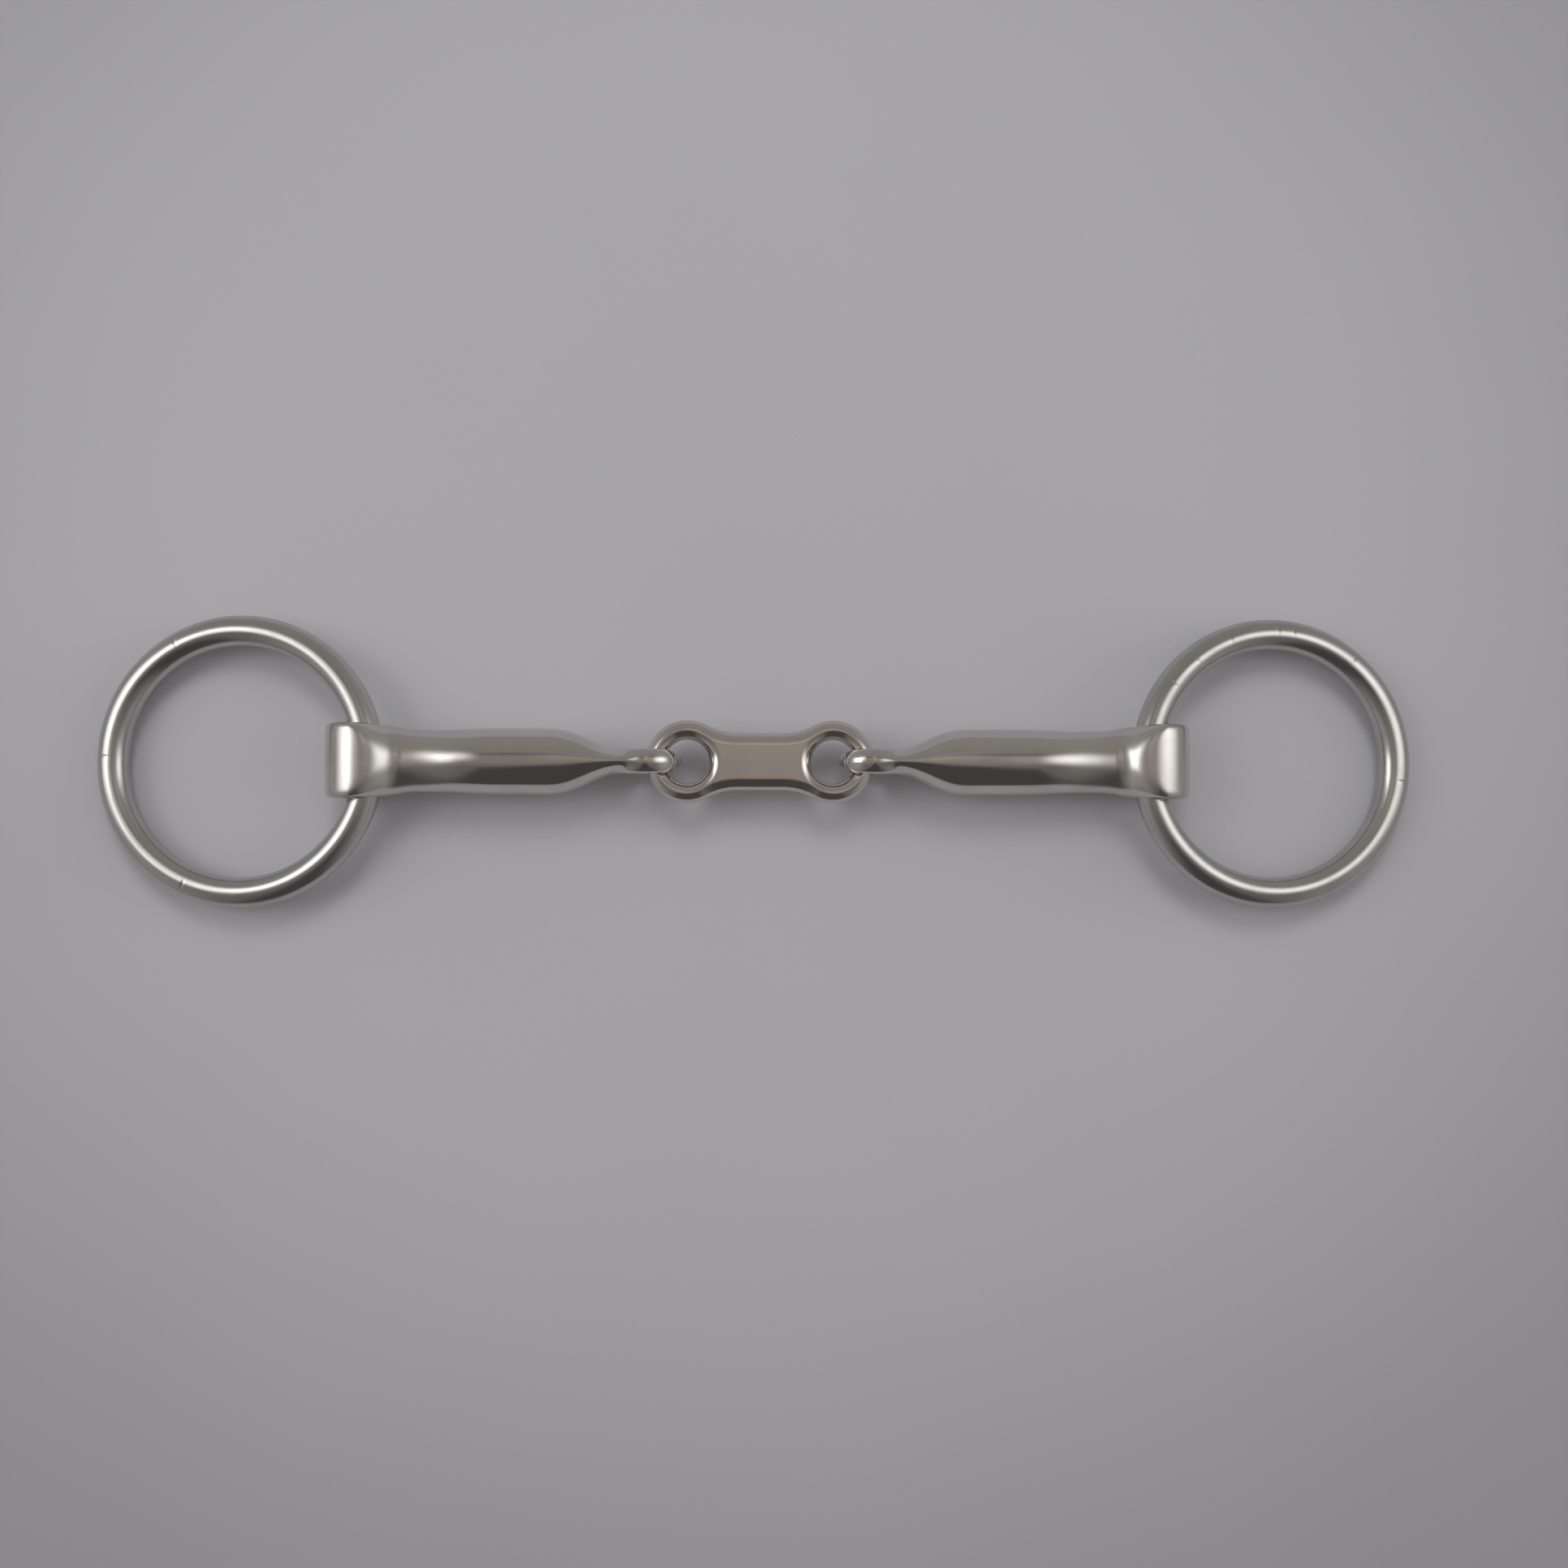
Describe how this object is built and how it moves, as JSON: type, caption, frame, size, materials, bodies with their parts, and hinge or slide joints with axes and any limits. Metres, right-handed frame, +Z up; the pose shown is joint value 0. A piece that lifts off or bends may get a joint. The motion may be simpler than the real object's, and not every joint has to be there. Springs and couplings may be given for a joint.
{
  "type": "snaffle bit",
  "caption": "Loose-ring snaffle bit for a horse: tapered cannons hinged on a flat centre link, with a round rein ring running through each butt.",
  "frame": {"origin": "table level under the middle of the centre link, with the bit lying flat and the mouthpiece straight", "axes": "+X along the mouthpiece towards the right ring, +Y across it, +Z up from the table"},
  "size_m": [0.2502, 0.055, 0.0148],
  "materials": {
    "link_steel": "polished",
    "cannon_steel": "polished",
    "ring_steel": "polished"
  },
  "bodies": {
    "link": {"link": "link_steel"},
    "cannon_left": {"cannon_left": "cannon_steel"},
    "cannon_right": {"cannon_right": "cannon_steel"},
    "ring_left": {"ring_left": "ring_steel"},
    "ring_right": {"ring_right": "ring_steel"}
  },
  "joints": [
    {"name": "cannon_left_fold", "type": "hinge", "parent": "link", "child": "cannon_left", "pos_m": [-0.0137, 0, 0.0074], "axis": [0, 0, 1], "range_deg": [-60, 60]},
    {"name": "cannon_right_fold", "type": "hinge", "parent": "link", "child": "cannon_right", "pos_m": [0.0137, 0, 0.0074], "axis": [0, 0, -1], "range_deg": [-60, 60]},
    {"name": "ring_left_swing", "type": "hinge", "parent": "cannon_left", "child": "ring_left", "pos_m": [-0.0737, 0, 0.0074], "axis": [0, 1, 0], "range_deg": [-164, 174]},
    {"name": "ring_right_swing", "type": "hinge", "parent": "cannon_right", "child": "ring_right", "pos_m": [0.0737, 0, 0.0074], "axis": [0, -1, 0], "range_deg": [-164, 174]}
  ]
}
